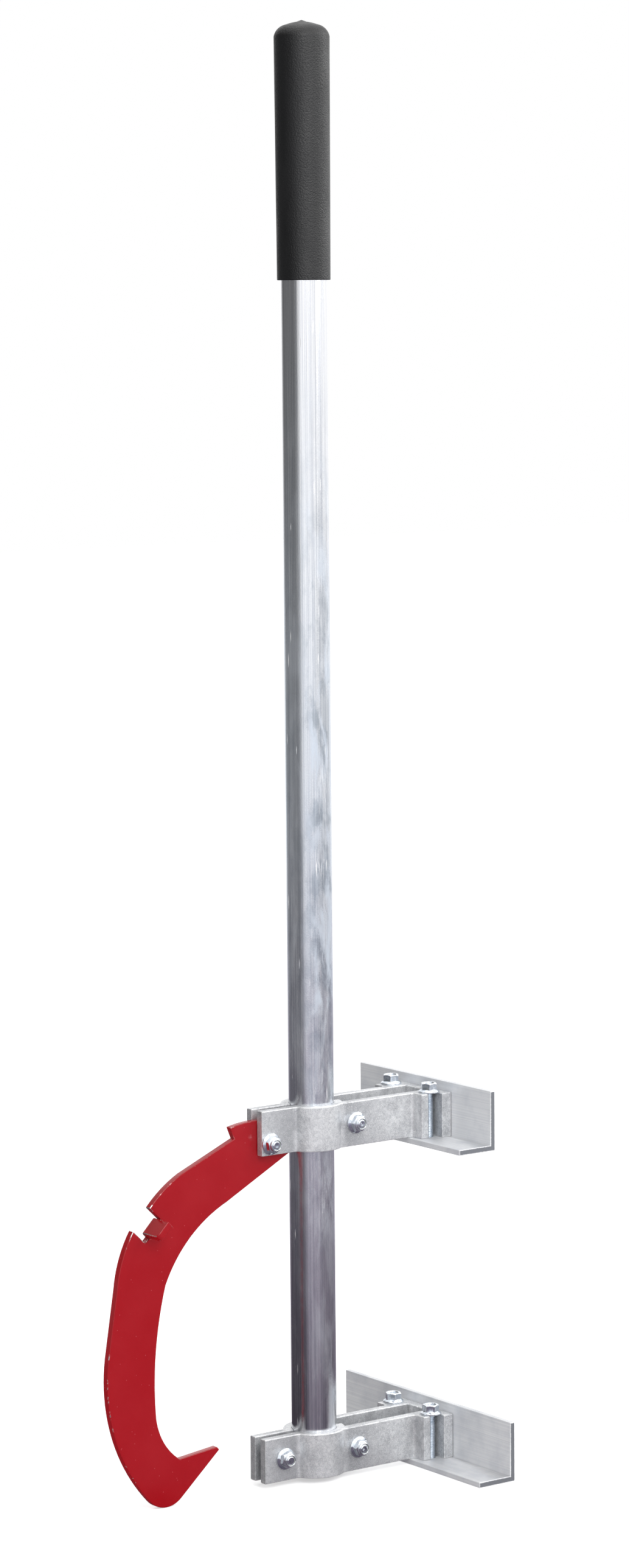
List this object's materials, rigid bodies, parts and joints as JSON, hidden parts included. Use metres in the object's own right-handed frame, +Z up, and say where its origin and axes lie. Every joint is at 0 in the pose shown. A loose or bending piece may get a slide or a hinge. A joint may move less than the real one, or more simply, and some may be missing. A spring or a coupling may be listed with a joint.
{
  "type": "log lifting jack",
  "caption": "Log lifting jack: straight tube handle with a moulded grip, two clamped brackets with angle bar feet, and a hinged steel hook that grips a log.",
  "frame": {"origin": "centre of the handle tube's open lower end, level with the lower clamp's underside, 4.76 mm above the floor the tool stands on", "axes": "+Z up the handle tube's axis, +X towards the angle bar feet, so -X is the hook's side, and +Y the side of the cross bolts' heads"},
  "size_m": [0.3356, 0.233, 1.2201],
  "materials": {
    "pole_aluminium": "drawn tube, bright, scuffed along its length",
    "grip_rubber": "pebbled, matt",
    "clamp_aluminium": "tumbled, mottled grey with bright edges",
    "angle_aluminium": "mill finish with faint lengthwise lines and sawn ends",
    "hook_paint": "glossy red enamel on steel plate",
    "zinc_steel": "bright zinc plate",
    "nylon": "moulded nylon"
  },
  "bodies": {
    "frame": {"pole_tube": "pole_aluminium", "hand_grip": "grip_rubber", "upper_clamp_front": "clamp_aluminium", "upper_clamp_rear": "clamp_aluminium", "lower_clamp_front": "clamp_aluminium", "lower_clamp_rear": "clamp_aluminium", "upper_foot_angle": "angle_aluminium", "lower_foot_angle": "angle_aluminium", "upper_foot_bolt_front": "zinc_steel", "upper_foot_bolt_rear": "zinc_steel", "lower_foot_bolt_front": "zinc_steel", "lower_foot_bolt_rear": "zinc_steel", "hook_pivot_bolt": "zinc_steel", "hook_pivot_nut": "zinc_steel", "upper_clamp_bolt": "zinc_steel", "upper_clamp_nut": "zinc_steel", "lower_ear_bolt": "zinc_steel", "lower_ear_nut": "zinc_steel", "lower_clamp_bolt": "zinc_steel", "lower_clamp_nut": "zinc_steel", "hook_pivot_nut_insert": "nylon", "upper_clamp_nut_insert": "nylon", "lower_ear_nut_insert": "nylon", "lower_clamp_nut_insert": "nylon"},
    "hook": {"hook_blade": "hook_paint"}
  },
  "joints": [
    {"name": "hook_swing", "type": "hinge", "parent": "frame", "child": "hook", "pos_m": [-0.0499, 0, 0.2893], "axis": [0, 1, 0], "range_deg": [0, 115]}
  ]
}
